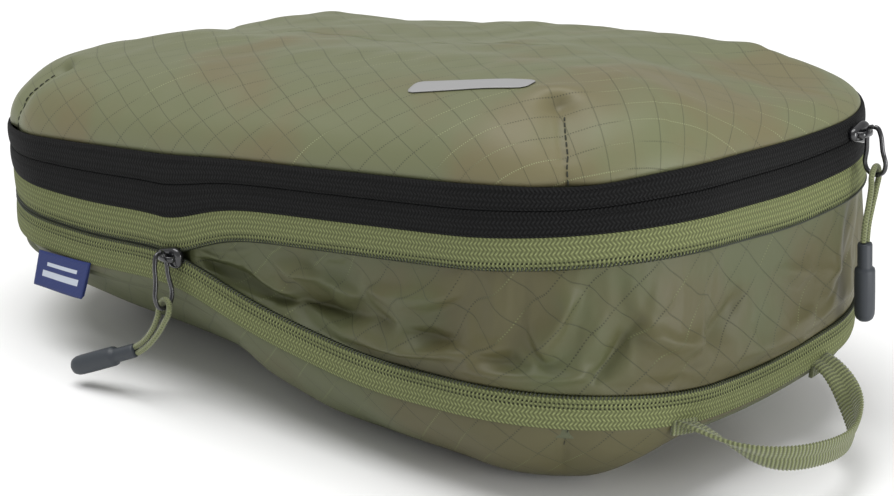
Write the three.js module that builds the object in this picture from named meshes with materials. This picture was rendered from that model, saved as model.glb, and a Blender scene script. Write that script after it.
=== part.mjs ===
// A compression packing cube for luggage, in millimetres, +Z up.
//
// It stands on the flat bottom of its pan. X runs along its length, from the end where the compression
// zipper is closed (-X) to the end with the grab handle (+X). The long front, with the compression slider,
// faces -Y, and the lid hinges along the long back, at +Y.
//
// The base is a fabric pan with a zipper tape round its rim. The upper frame carries the other half of that
// zipper and the main zipper above it. It is tilted about the closed end, which leaves the wedge-shaped
// gap that the gusset fills. The lid sits on the frame.

import * as THREE from "three";
import { mergeVertices } from "three/addons/utils/BufferGeometryUtils.js";

// ---- Driving dimensions ----------------------------------------------------------------------------

const HALF_LENGTH = 180;          // half of the cube's length, along X
const HALF_WIDTH = 108;           // half of the cube's width, along Y
const CORNER_RADIUS = 70;         // plan radius of the four soft corners
const FRONT_BULGE = 6;            // how far the middle of the long front bulges outwards
const FABRIC = 1.6;               // thickness of a panel with its lining and seam turned in
const GAP = 0.3;                  // clearance between sewn neighbours
const TAPE_PROUD = 0.8;           // how far a zipper tape stands out from the panels
const COIL_THICK = 2.4;           // thickness of a zipper coil, across the wall

const PAN_HEIGHT = 38;            // from the floor to the seam of the lower tape
const PAN_FLAT_INSET = 44;        // how far the flat bottom lies inside the outline
const GREEN_TAPE = 11;            // height of each compression tape
const GREEN_COIL = 1.9;           // height of each half of the compression coil
const BLACK_TAPE = 7.6;           // height of each main zipper tape
const BLACK_COIL = 1.5;           // height of each half of the main coil
const LID_HEIGHT = 30;            // height of the lid panel above the main zipper

const OPENING_ANGLE = 7.6 * Math.PI / 180;   // tilt of the upper frame with the gusset open
const FRAME_STRETCH = 3;          // the upper frame is this much longer at the handle end

const CORNER_STEPS = 7;           // facets round each corner
const SIDE_STEPS = 5;             // facets along each straight side

const BINDING_HEIGHT = 5;         // height of the binding that covers a seam on the inside
const BINDING_THICK = 1;

const WIRE = 1.9;                 // wire of a zipper pull
const CORD = 2.4;                 // cord of a zipper pull
const STRAND_SPREAD = [1.35, 1.35, 1.5, 2, 2.5];   // each strand from the middle line, grip to wire

// ---- Levels, each from the one below ------------------------------------------------------------------

const lowerTapeFoot = PAN_HEIGHT + GAP;
const lowerTapeTop = lowerTapeFoot + GREEN_TAPE;
const lowerCoilFoot = lowerTapeTop + GAP;
const lowerCoilTop = lowerCoilFoot + GREEN_COIL;
const meetLevel = lowerCoilTop + GAP / 2;            // where the two halves of the coil mesh when closed
const upperCoilFoot = meetLevel + GAP / 2;
const upperCoilTop = upperCoilFoot + GREEN_COIL;
const upperTapeFoot = upperCoilTop + GAP;
const upperTapeTop = upperTapeFoot + GREEN_TAPE;
const mainLowerFoot = upperTapeTop + GAP;
const mainLowerTop = mainLowerFoot + BLACK_TAPE;
const mainCoilFoot = mainLowerTop + GAP;
const mainCoilMiddle = mainCoilFoot + BLACK_COIL + GAP / 2;
const mainCoilTop = mainCoilMiddle + GAP / 2 + BLACK_COIL;
const mainUpperFoot = mainCoilTop + GAP;
const mainUpperTop = mainUpperFoot + BLACK_TAPE;
const lidFoot = mainUpperTop + GAP;
const lidTop = lidFoot + LID_HEIGHT;

// ---- Materials --------------------------------------------------------------------------------------

function cloth(color, roughness = 0.75) {
  return new THREE.MeshStandardMaterial({ color, roughness, metalness: 0 });
}

const ripstop = cloth(0x6f7558, 0.6);
const greenTape = cloth(0x7d8560, 0.8);
const greenCoil = cloth(0x4a4f38, 0.5);
const blackTape = cloth(0x26272b, 0.85);
const blackCoil = cloth(0x1c1c1f, 0.5);
const binding = cloth(0x4c5140, 0.85);
const labelBlue = cloth(0x27397e, 0.7);
const patchGrey = cloth(0x9ea09a, 0.4);
const moulded = cloth(0x30333a, 0.55);
const blackMetal = new THREE.MeshStandardMaterial({ color: 0x151517, roughness: 0.3, metalness: 0.8 });

// ---- Geometry helpers -------------------------------------------------------------------------------

// How far the front stands out at x.
function bulge(x) {
  return FRONT_BULGE * Math.max(0, 1 - (x / HALF_LENGTH) ** 2);
}

// One rounded rectangle with a bulging front, anticlockwise from above, as a list of [x, y]. inset moves it
// inwards all round.
function outline(inset, stretch = 0) {
  const right = HALF_LENGTH + stretch - inset;
  const left = -HALF_LENGTH + inset;
  const half = HALF_WIDTH - inset;
  const radius = Math.max(CORNER_RADIUS - inset, 6);
  const corners = [
    [right - radius, -half + radius, -90],
    [right - radius, half - radius, 0],
    [left + radius, half - radius, 90],
    [left + radius, -half + radius, 180],
  ];
  const points = [];
  corners.forEach(([x, y, start], k) => {
    for (let i = 0; i <= CORNER_STEPS; i++) {
      const angle = (start + 90 * i / CORNER_STEPS) * Math.PI / 180;
      points.push([x + radius * Math.cos(angle), y + radius * Math.sin(angle)]);
    }
    const from = points[points.length - 1];
    const [nextX, nextY, nextStart] = corners[(k + 1) % 4];
    const turn = nextStart * Math.PI / 180;
    const to = [nextX + radius * Math.cos(turn), nextY + radius * Math.sin(turn)];
    for (let i = 1; i < SIDE_STEPS; i++) {
      points.push([from[0] + (to[0] - from[0]) * i / SIDE_STEPS, from[1] + (to[1] - from[1]) * i / SIDE_STEPS]);
    }
  });
  return points.map(([x, y]) => [x, y - bulge(x) * Math.max(0, -y / HALF_WIDTH)]);
}

// A BufferGeometry from a list of [x, y, z] and a list of triangles.
function meshFrom(vertices, triangles) {
  const geometry = new THREE.BufferGeometry();
  geometry.setAttribute("position", new THREE.Float32BufferAttribute(vertices.flat(), 3));
  geometry.setIndex(triangles.flat());
  return mergeVertices(geometry, 1e-5);
}

// Joins a stack of equal rings, each a list of [x, y, z], and closes the first and the last with a fan.
function loft(rings) {
  const count = rings[0].length;
  const vertices = rings.flat();
  const triangles = [];
  for (let k = 0; k + 1 < rings.length; k++) {
    for (let i = 0; i < count; i++) {
      const next = (i + 1) % count;
      const [a, b] = [k * count + i, k * count + next];
      triangles.push([a, b, b + count], [a, b + count, a + count]);
    }
  }
  const middle = (ring) => ring.reduce((sum, p) => sum.map((s, j) => s + p[j] / count), [0, 0, 0]);
  const [first, last] = [vertices.length, vertices.length + 1];
  vertices.push(middle(rings[0]), middle(rings[rings.length - 1]));
  const top = (rings.length - 1) * count;
  for (let i = 0; i < count; i++) {
    const next = (i + 1) % count;
    triangles.push([first, next, i], [last, top + i, top + next]);
  }
  return meshFrom(vertices, triangles);
}

// A shell whose rings are given as [inset, height] pairs, from one closed end to the other.
function shell(profile, stretch = 0) {
  return loft(profile.map(([inset, z]) => outline(inset, stretch).map(([x, y]) => [x, y, z])));
}

// A closed wall that follows a list of outer points and matching inner points. foot and head give its
// height at a point, so that it can taper. An open wall gets a cap at each end.
function wall(outer, inner, foot, head, open = false) {
  const vertices = [];
  outer.forEach(([x, y], i) => {
    const [innerX, innerY] = inner[i];
    vertices.push([x, y, foot(x, y)], [x, y, head(x, y)]);
    vertices.push([innerX, innerY, head(x, y)], [innerX, innerY, foot(x, y)]);
  });
  const triangles = [];
  const stations = outer.length;
  for (let i = 0; i < (open ? stations - 1 : stations); i++) {
    const [here, next] = [4 * i, 4 * ((i + 1) % stations)];
    for (let k = 0; k < 4; k++) {
      const turn = (k + 1) % 4;
      triangles.push([here + k, next + k, next + turn], [here + k, next + turn, here + turn]);
    }
  }
  if (open) {
    const end = 4 * (stations - 1);
    triangles.push([0, 1, 2], [0, 2, 3], [end, end + 2, end + 1], [end, end + 3, end + 2]);
  }
  return meshFrom(vertices, triangles);
}

// A level band round the whole outline.
function band(proud, thick, foot, head, stretch = 0) {
  return wall(outline(-proud, stretch), outline(thick - proud, stretch), () => foot, () => head);
}

// The indices of the one unbroken run of outline points that pass a test, in order.
function run(points, test) {
  const kept = points.map(([x, y]) => test(x, y));
  const start = kept.findIndex((yes, i) => yes && !kept[(i + kept.length - 1) % kept.length]);
  const order = points.map((_, i) => (start + i) % points.length);
  return order.filter((i) => kept[i]);
}

// A level band round the front, both ends and the back corners, but not along the straight back.
function sideBand(proud, thick, foot, head, stretch = 0) {
  const reach = HALF_LENGTH - CORNER_RADIUS - 0.5;
  const keep = run(outline(0, stretch), (x, y) => y < 0 || x > reach + stretch || x < -reach);
  const [outer, inner] = [outline(-proud, stretch), outline(thick - proud, stretch)];
  return wall(keep.map((i) => outer[i]), keep.map((i) => inner[i]), () => foot, () => head, true);
}

// A strip along the straight middle of the back, where the side bands stop.
function backStrip(proud, thick, foot, head) {
  const reach = HALF_LENGTH - CORNER_RADIUS - 1;
  const geometry = new THREE.BoxGeometry(2 * reach, thick, head - foot);
  geometry.translate(0, HALF_WIDTH + proud - thick / 2, (foot + head) / 2);
  return geometry;
}

// A round tube through a list of points, given as THREE.Vector3.
function tube(points, diameter, steps, sides = 8, closed = false) {
  const section = new THREE.Shape();
  for (let i = 0; i < sides; i++) {
    const angle = 2 * Math.PI * i / sides;
    const [x, y] = [diameter / 2 * Math.cos(angle), diameter / 2 * Math.sin(angle)];
    if (i === 0) section.moveTo(x, y);
    else section.lineTo(x, y);
  }
  section.closePath();
  const path = new THREE.CatmullRomCurve3(points, closed, "centripetal");
  return new THREE.ExtrudeGeometry(section, { steps, bevelEnabled: false, extrudePath: path });
}

function piece(name, geometry, material) {
  const mesh = new THREE.Mesh(geometry, material);
  mesh.name = name;
  return mesh;
}

// ---- Base -------------------------------------------------------------------------------------------

const base = new THREE.Group();

const bindingInset = FABRIC + 3 * GAP;
const panProfile = [
  [PAN_FLAT_INSET, 0],
  [31, 3],
  [19, 9],
  [9.5, 18],
  [1.4, 28],
  [0, PAN_HEIGHT],
];
const panInside = panProfile.map(([inset, z], i) => [
  inset + FABRIC * [0, 0.35, 0.8, 1, 1, 1][i],
  i === panProfile.length - 1 ? z : z + FABRIC * [1, 0.95, 0.6, 0.3, 0.1][i],
]);
base.add(piece("base_pan", shell([...panProfile, ...panInside.reverse()]), ripstop));

base.add(piece("base_seam_binding",
  wall(outline(bindingInset), outline(bindingInset + BINDING_THICK),
    () => PAN_HEIGHT - BINDING_HEIGHT, () => PAN_HEIGHT), binding));
base.add(piece("lower_zip_tape", band(TAPE_PROUD, FABRIC, lowerTapeFoot, lowerTapeTop), greenTape));
base.add(piece("lower_zip_coil", band(TAPE_PROUD, COIL_THICK, lowerCoilFoot, lowerCoilTop), greenCoil));

// A folded woven label that hangs from the seam under the lower tape, near the closed end of the front.
const LABEL = { x: -98, width: 31, height: 17, thick: 0.9, lean: 0.1 };
const labelGeometry = new THREE.BoxGeometry(LABEL.width, LABEL.thick, LABEL.height);
labelGeometry.translate(0, 0, -LABEL.height / 2);
const label = piece("side_label", labelGeometry, labelBlue);
label.position.set(LABEL.x, -HALF_WIDTH - bulge(LABEL.x) - TAPE_PROUD - LABEL.thick / 2 - 3 * GAP, lowerTapeFoot + 2);
label.rotation.x = -LABEL.lean;
base.add(label);

// The gusset fills the wedge between the two halves of the compression zipper.
const gussetStart = -150;
const gussetInset = 0.6;
const slope = Math.tan(OPENING_ANGLE);
const wedgeTop = (x) => meetLevel + (x + HALF_LENGTH) * slope - GAP;
const gussetRun = run(outline(0), (x) => x > gussetStart);
const gussetWall = (inset) => gussetRun.map((i) => outline(inset)[i]);
base.add(piece("gusset_panel",
  wall(gussetWall(gussetInset), gussetWall(gussetInset + FABRIC),
    () => lowerCoilTop + GAP, wedgeTop, true), ripstop));

// The grab handle is a loop of webbing whose folded ends are sewn under the lower tape. It droops a little.
const HANDLE = { centre: -12, halfSpan: 43, reach: 33, width: 10, thick: 1.6, droop: 27 * Math.PI / 180 };
const handleRoot = HALF_LENGTH + 8.4;        // clear of the sewn ends, so that the loop can turn
const handleLevel = PAN_HEIGHT - 3;
const handleFacets = 20;

function handleCurve(shrink) {
  const points = [];
  for (let i = 0; i <= handleFacets; i++) {
    const angle = Math.PI * i / handleFacets;
    points.push([
      (HANDLE.reach - shrink) * Math.sin(angle) ** 0.8,
      HANDLE.centre - (HANDLE.halfSpan - shrink) * Math.cos(angle),
    ]);
  }
  return points;
}

const halfStrap = HANDLE.width / 2;
const handle = piece("grab_handle",
  wall(handleCurve(0), handleCurve(HANDLE.thick), () => -halfStrap, () => halfStrap, true), greenTape);
handle.position.set(handleRoot, 0, handleLevel);
handle.rotation.y = HANDLE.droop;
base.add(handle);

for (const [name, side] of [["front", -1], ["back", 1]]) {
  const tab = new THREE.BoxGeometry(HANDLE.thick, HANDLE.width, HANDLE.width);
  const anchor = piece("handle_anchor_" + name, tab, greenTape);
  const at = HANDLE.centre + side * (HANDLE.halfSpan - HANDLE.thick / 2);
  const past = Math.max(0, Math.abs(at) - (HALF_WIDTH - CORNER_RADIUS));       // into the rounded corner
  const turn = Math.sign(at) * Math.asin(past / CORNER_RADIUS);
  const out = CORNER_RADIUS + TAPE_PROUD + 2 * GAP + HANDLE.thick / 2;
  anchor.position.set(HALF_LENGTH - CORNER_RADIUS + out * Math.cos(turn),
    at + (out - CORNER_RADIUS) * Math.sin(turn), handleLevel - 1);
  anchor.rotation.z = turn;
  base.add(anchor);
}

// ---- Upper frame and lid, built level and then tilted about the closed end ----------------------------

const frame = new THREE.Group();
frame.position.set(-HALF_LENGTH, 0, meetLevel);
frame.rotation.y = -OPENING_ANGLE;
const level = new THREE.Group();
level.position.set(HALF_LENGTH, 0, -meetLevel);
frame.add(level);

const S = FRAME_STRETCH;
level.add(piece("upper_zip_coil", band(TAPE_PROUD, COIL_THICK, upperCoilFoot, upperCoilTop, S), greenCoil));
level.add(piece("upper_zip_tape", band(TAPE_PROUD, FABRIC, upperTapeFoot, upperTapeTop, S), greenTape));
level.add(piece("main_zip_lower_tape", sideBand(TAPE_PROUD, FABRIC, mainLowerFoot, mainLowerTop, S), blackTape));
level.add(piece("main_zip_lower_coil",
  sideBand(TAPE_PROUD, COIL_THICK, mainCoilFoot, mainCoilMiddle - GAP / 2, S), blackCoil));
level.add(piece("hinge_panel_frame_half",
  backStrip(TAPE_PROUD, FABRIC, mainLowerFoot, mainCoilMiddle - GAP / 2), ripstop));
level.add(piece("frame_seam_binding",
  wall(outline(bindingInset, S), outline(bindingInset + BINDING_THICK, S),
    () => mainLowerTop - BINDING_HEIGHT, () => mainLowerTop), binding));

level.add(piece("main_zip_upper_coil",
  sideBand(TAPE_PROUD, COIL_THICK, mainCoilMiddle + GAP / 2, mainCoilTop, S), blackCoil));
level.add(piece("main_zip_upper_tape", sideBand(TAPE_PROUD, FABRIC, mainUpperFoot, mainUpperTop, S), blackTape));
level.add(piece("hinge_panel_lid_half",
  backStrip(TAPE_PROUD, FABRIC, mainCoilMiddle + GAP / 2, mainUpperTop), ripstop));

const lidProfile = [
  [0, lidFoot],
  [2.5, lidFoot + 0.32 * LID_HEIGHT],
  [8, lidFoot + 0.62 * LID_HEIGHT],
  [17, lidFoot + 0.82 * LID_HEIGHT],
  [32, lidFoot + 0.94 * LID_HEIGHT],
  [58, lidTop],
];
const lidInside = lidProfile.map(([inset, z], i) => [
  inset + FABRIC * [1, 1, 0.9, 0.6, 0.3, 0][i],
  i === 0 ? z : z - FABRIC * [0, 0.1, 0.5, 0.85, 1, 1][i],
]);
level.add(piece("lid_panel", shell([...lidInside.reverse(), ...lidProfile], S), ripstop));
level.add(piece("lid_seam_binding",
  wall(outline(bindingInset, S), outline(bindingInset + BINDING_THICK, S),
    () => lidFoot - BINDING_HEIGHT, () => lidFoot - GAP), binding));

// A plain reflective bar on the lid, near its front corner at the handle end.
const PATCH = { x: 94, inset: 45, width: 56, depth: 9, thick: 0.6 };
const patchGeometry = new THREE.BoxGeometry(PATCH.width, PATCH.depth, PATCH.thick);
const patch = piece("lid_reflective_bar", patchGeometry, patchGrey);
patch.position.set(PATCH.x, PATCH.inset - HALF_WIDTH - bulge(PATCH.x),
  lidFoot + 0.97 * LID_HEIGHT + 2 * GAP + PATCH.thick / 2);
patch.rotation.x = Math.atan2(0.06 * LID_HEIGHT, 26);
level.add(patch);

// ---- Sliders ----------------------------------------------------------------------------------------

// A slider body, seen from outside the wall: a lens-shaped plate with a bridge that holds the wire. It is
// made lying along +X with its outer face towards -Y and its origin on the coil's outer face.
const SLIDER = { length: 13, width: 9.5, thick: 2.6, bridge: 5.2, strip: 2.2 };
const sliderStand = TAPE_PROUD + GAP;

function sliderGeometry() {
  const half = SLIDER.length / 2;
  const wide = SLIDER.width / 2;
  const shape = new THREE.Shape();
  shape.moveTo(-half, -0.55 * wide);
  shape.lineTo(-0.3 * half, -0.9 * wide);
  shape.quadraticCurveTo(0.5 * half, -wide, half, -0.75 * wide);
  shape.quadraticCurveTo(1.12 * half, 0, half, 0.75 * wide);
  shape.quadraticCurveTo(0.5 * half, wide, -0.3 * half, 0.9 * wide);
  shape.lineTo(-half, 0.55 * wide);
  shape.closePath();
  const plate = new THREE.ExtrudeGeometry(shape, { depth: SLIDER.thick, bevelEnabled: false, curveSegments: 5 });
  plate.rotateX(Math.PI / 2);
  return plate;
}

// The bridge is a small arch on the plate. The wire passes under it.
function bridgeGeometry() {
  const arch = new THREE.Shape();
  const [reach, rise, strip] = [3.6, SLIDER.bridge, 1.1];
  arch.moveTo(-reach, 0);
  arch.lineTo(-reach, rise - 1.5);
  arch.quadraticCurveTo(-reach, rise, -reach + 1.5, rise);
  arch.lineTo(reach - 1.5, rise);
  arch.quadraticCurveTo(reach, rise, reach, rise - 1.5);
  arch.lineTo(reach, 0);
  arch.lineTo(reach - strip, 0);
  arch.lineTo(reach - strip, rise - strip - 0.6);
  arch.lineTo(-reach + strip, rise - strip - 0.6);
  arch.lineTo(-reach + strip, 0);
  arch.closePath();
  const geometry = new THREE.ExtrudeGeometry(arch, { depth: SLIDER.strip, bevelEnabled: false, curveSegments: 3 });
  geometry.translate(0, 0, -SLIDER.strip / 2);
  geometry.rotateX(Math.PI);
  geometry.translate(0, -SLIDER.thick - GAP, 0);
  return geometry;
}

function slider(prefix, position, turn) {
  const group = new THREE.Group();
  group.add(piece(prefix + "_slider_body", sliderGeometry(), blackMetal));
  group.add(piece(prefix + "_slider_bridge", bridgeGeometry(), blackMetal));
  group.position.copy(position);
  group.rotation.z = turn;
  return group;
}

// Where the two sliders stand. The compression slider is at the end of the closed stretch, where the
// lower tape rises to meet the frame and takes up half of the frame's lift.
const compressionX = -32;
const compressionLift = 0.5 * (compressionX + HALF_LENGTH) * slope;
const compressionAt = new THREE.Vector3(
  compressionX, -HALF_WIDTH - bulge(compressionX) - sliderStand, meetLevel + compressionLift);

function onFrame(x, z) {
  const [along, up] = [x + HALF_LENGTH, z - meetLevel];
  const [c, s] = [Math.cos(OPENING_ANGLE), Math.sin(OPENING_ANGLE)];
  return [-HALF_LENGTH + along * c - up * s, meetLevel + along * s + up * c];
}

const mainY = 52;
const [mainX, mainZ] = onFrame(HALF_LENGTH + S + sliderStand, mainCoilMiddle);
const mainAt = new THREE.Vector3(mainX, mainY, mainZ);

const compressionSlider = slider("compression", compressionAt, 0);
const mainSlider = new THREE.Group();
mainSlider.add(slider("main", new THREE.Vector3(0, 0, 0), Math.PI / 2));
mainSlider.rotation.y = -OPENING_ANGLE;
mainSlider.position.copy(mainAt);

// ---- Zipper pulls: a wire loop, a doubled cord through it and a moulded end ---------------------------

const vector = (list) => new THREE.Vector3(...list);

// The wire loop hangs in its own plane from the bridge, which it passes under and round. Its two ends
// butt together at the top. across is the direction of its short side.
function wireLoop(top, bottom, across, topHalf, bottomHalf) {
  const at = (t, half) => top.clone().lerp(bottom, t).addScaledVector(across, half);
  const [butt, waist] = [0.4, (topHalf + bottomHalf) / 2];
  const outside = [
    at(0, butt),
    at(0.02, 0.6 * topHalf),
    at(0.12, topHalf),
    at(0.5, waist),
    at(0.86, bottomHalf),
    at(1, 0.55 * bottomHalf),
  ];
  const inside = [
    at(0, -butt),
    at(0.02, -0.6 * topHalf),
    at(0.12, -topHalf),
    at(0.5, -waist),
    at(0.86, -bottomHalf),
    at(1, -0.55 * bottomHalf),
  ];
  return [...outside, ...inside.reverse()];
}

// A moulded cord end: a thin neck that steps to a thicker grip with a round tip.
const GRIP = { length: 33, neck: 2.9, neckLength: 10, body: 4.1, tip: 3.6 };

function gripGeometry() {
  const profile = [
    [0, 0],
    [GRIP.neck * 0.86, 0],
    [GRIP.neck, 0.8],
    [GRIP.neck, GRIP.neckLength],
    [GRIP.body, GRIP.neckLength + 1.2],
    [GRIP.body, GRIP.length - 3.5],
    [GRIP.tip, GRIP.length - 1.2],
    [GRIP.tip * 0.55, GRIP.length],
    [0, GRIP.length],
  ].map(([r, y]) => new THREE.Vector2(r, y));
  const geometry = new THREE.LatheGeometry(profile, 12);
  geometry.deleteAttribute("normal");
  geometry.deleteAttribute("uv");
  return mergeVertices(geometry, 1e-5);
}

// Lays a grip from one point towards another.
function grip(name, from, towards) {
  const mesh = piece(name, gripGeometry(), moulded);
  mesh.position.copy(from);
  const direction = towards.clone().sub(from).normalize();
  mesh.quaternion.setFromUnitVectors(new THREE.Vector3(0, 1, 0), direction);
  return mesh;
}

// The cord's two strands leave the grip side by side, run to the wire and turn round its foot.
// route is the middle line from the grip to the wire's foot, out points away from the cube, and the
// strands lie on either side of the middle line.
function doubledCord(route, out) {
  const last = route.length - 1;
  const along = (i) => route[Math.min(i + 1, last)].clone().sub(route[Math.max(i - 1, 0)]).normalize();
  const strand = (sign) => route.map((p, i) => {
    const side = along(i).cross(out).normalize();
    return p.clone().addScaledVector(side, sign * STRAND_SPREAD[i]);
  });
  const crest = route[last].clone().addScaledVector(along(last), 1.1 * STRAND_SPREAD[last]);
  return [...strand(1), crest, ...strand(-1).reverse()];
}

function pull(prefix, { top, foot, across, out, route, gripTo }) {
  const group = new THREE.Group();
  const wirePoints = wireLoop(top, foot, across.normalize(), 2.7, 4.4);
  group.add(piece(prefix + "_pull_wire", tube(wirePoints, WIRE, 30, 7), blackMetal));
  const middle = [...route, foot];
  const cordPoints = doubledCord(middle, out);
  group.add(piece(prefix + "_pull_cord", tube(cordPoints, CORD, 26), greenTape));
  const mouth = route[0].clone().addScaledVector(gripTo.clone().sub(route[0]).normalize(), 2 * GAP);
  group.add(grip(prefix + "_pull_grip", mouth, gripTo));
  return group;
}

// How far the wire's hanging point stands out from the slider's foot.
const bail = 7.25;

const compressionBail = compressionAt.clone().add(vector([0, -bail, 0]));
const compressionPull = pull("compression", {
  top: compressionBail.clone().add(vector([0, 0, 2.9])),
  foot: vector([-27.5, -123.5, 43.5]),
  across: vector([0, -1, -0.15]),
  out: vector([0, -1, 0]),
  route: [
    vector([-43, -125, 20.8]),
    vector([-38.4, -124.6, 24.4]),
    vector([-33.6, -124.2, 30]),
    vector([-29.8, -123.8, 36.8]),
  ],
  gripTo: vector([-75, -133, 6.3]),
});

const mainBail = mainAt.clone().add(
  vector([bail * Math.cos(OPENING_ANGLE), 0, bail * Math.sin(OPENING_ANGLE)]));
const hangX = mainBail.x + 2.5;
const mainPull = pull("main", {
  top: mainBail.clone().add(vector([0, 0, 2.9])),
  foot: vector([hangX, mainY, 108.5]),
  across: vector([1, 0, 0.1]),
  out: vector([1, 0, 0]),
  route: [
    vector([hangX + 1.4, mainY - 6, 82]),
    vector([hangX + 1.2, mainY - 5.4, 89]),
    vector([hangX + 0.8, mainY - 3.2, 96]),
    vector([hangX + 0.3, mainY - 1, 102.5]),
  ],
  gripTo: vector([hangX + 2.6, mainY - 3, 48]),
});

const cube = new THREE.Group();
cube.add(base, frame, compressionSlider, compressionPull, mainSlider, mainPull);
export default cube;
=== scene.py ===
"""Looks of the compression packing cube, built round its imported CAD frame. Metres, +Z up."""

import math

import bmesh
import bpy
import numpy as np
from mathutils import Matrix, Vector, noise
from mathutils.bvhtree import BVHTree


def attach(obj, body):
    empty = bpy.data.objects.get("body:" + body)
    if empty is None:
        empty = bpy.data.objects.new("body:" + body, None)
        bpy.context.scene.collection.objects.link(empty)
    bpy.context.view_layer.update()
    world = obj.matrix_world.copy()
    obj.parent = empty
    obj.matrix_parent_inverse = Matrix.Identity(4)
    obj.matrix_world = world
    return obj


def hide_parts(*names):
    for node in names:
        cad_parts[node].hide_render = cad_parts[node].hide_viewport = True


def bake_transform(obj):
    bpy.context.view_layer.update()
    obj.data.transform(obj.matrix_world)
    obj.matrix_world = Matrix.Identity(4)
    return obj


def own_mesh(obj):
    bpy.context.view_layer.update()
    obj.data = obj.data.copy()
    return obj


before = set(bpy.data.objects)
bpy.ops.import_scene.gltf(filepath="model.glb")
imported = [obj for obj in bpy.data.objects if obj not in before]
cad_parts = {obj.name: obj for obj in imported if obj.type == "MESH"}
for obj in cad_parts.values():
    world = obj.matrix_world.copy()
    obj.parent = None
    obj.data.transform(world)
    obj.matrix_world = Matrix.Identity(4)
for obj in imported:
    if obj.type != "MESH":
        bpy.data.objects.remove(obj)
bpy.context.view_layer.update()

# ---- Sizes, in millimetres, as the CAD part has them ----------------

MM = 0.001
HALF_LENGTH = 180.0
HALF_WIDTH = 108.0
RADIUS = 70.0
FRONT_BULGE = 6.0
STRETCH = 3.0
THETA = math.radians(7.6)
OUTLINE_LENGTH = 2 * math.pi * RADIUS + 4 * (HALF_LENGTH - RADIUS) + 4 * (HALF_WIDTH - RADIUS)
FRONT_START = 110 + 110 + 76 + 110  # where the straight front begins, from mid-back
BACK_SHARE = (HALF_LENGTH - RADIUS) / OUTLINE_LENGTH
WHOLE, ZIP = (0.0, 1.0), (BACK_SHARE, 1 - BACK_SHARE)  # shares of the outline that pieces cover
SEAM = 38.0                       # where the pan meets the lower tape
MEET = 51.65                      # where the two halves of the compression coil mesh
GREEN_FOOT, GREEN_TOP = 38.2, 49.4
UPPER_FOOT, UPPER_TOP = 53.9, 65.0
BLACK_FOOT, SLIT, BLACK_TOP = 65.2, 74.85, 84.4
LID_FOOT, LID_HEIGHT = 84.7, 30.0
SLIDER_X = -32.0                  # the compression slider, where the closed stretch ends
COIL_PITCH = 1.45


def smooth(t):
    t = np.clip(t, 0.0, 1.0)
    return t * t * (3 - 2 * t)


def bump(x, centre, left, right):
    x = np.asarray(x, float) - centre
    return np.exp(-((x / np.where(x < 0, left, right)) ** 2))


def ripple(x, y, z, size, seed):
    """Smooth noise from -1 to 1 at points given in millimetres."""
    points = np.stack(np.broadcast_arrays(x, y, z), -1).reshape(-1, 3)
    shift = Vector((seed * 7.3, seed * 3.1, seed * 5.7))
    values = [noise.noise(Vector(p) / size + shift) for p in points]
    return np.array(values).reshape(np.shape(np.asarray(x) + np.asarray(y) + np.asarray(z)))


# ---- Camera ---------------------------------------------------------

LENS = 100.7
AZIMUTH, ELEVATION, ROLL = math.radians(39.8), math.radians(19.02), math.radians(1.7)
DISTANCE = 1.062
AIM_RIGHT, AIM_UP, AIM_LEVEL = 0.0115, -0.0219, 0.068


def add_camera():
    back = Vector((math.sin(AZIMUTH) * math.cos(ELEVATION),
                   -math.cos(AZIMUTH) * math.cos(ELEVATION),
                   math.sin(ELEVATION)))
    right = Vector((math.cos(AZIMUTH), math.sin(AZIMUTH), 0))
    up = back.cross(right)
    place = right * AIM_RIGHT + up * AIM_UP + Vector((0, 0, AIM_LEVEL)) + back * DISTANCE
    turned_right = right * math.cos(ROLL) + up * math.sin(ROLL)
    turned_up = up * math.cos(ROLL) - right * math.sin(ROLL)
    camera = bpy.data.objects.new("camera", bpy.data.cameras.new("camera"))
    camera.data.lens = LENS
    camera.data.sensor_width = 36.0
    camera.data.clip_start = 0.05
    camera.matrix_world = Matrix((
        (turned_right.x, turned_up.x, back.x, place.x),
        (turned_right.y, turned_up.y, back.y, place.y),
        (turned_right.z, turned_up.z, back.z, place.z),
        (0, 0, 0, 1)))
    bpy.context.scene.collection.objects.link(camera)
    bpy.context.scene.camera = camera


add_camera()

# ---- Materials ------------------------------------------------------


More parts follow.
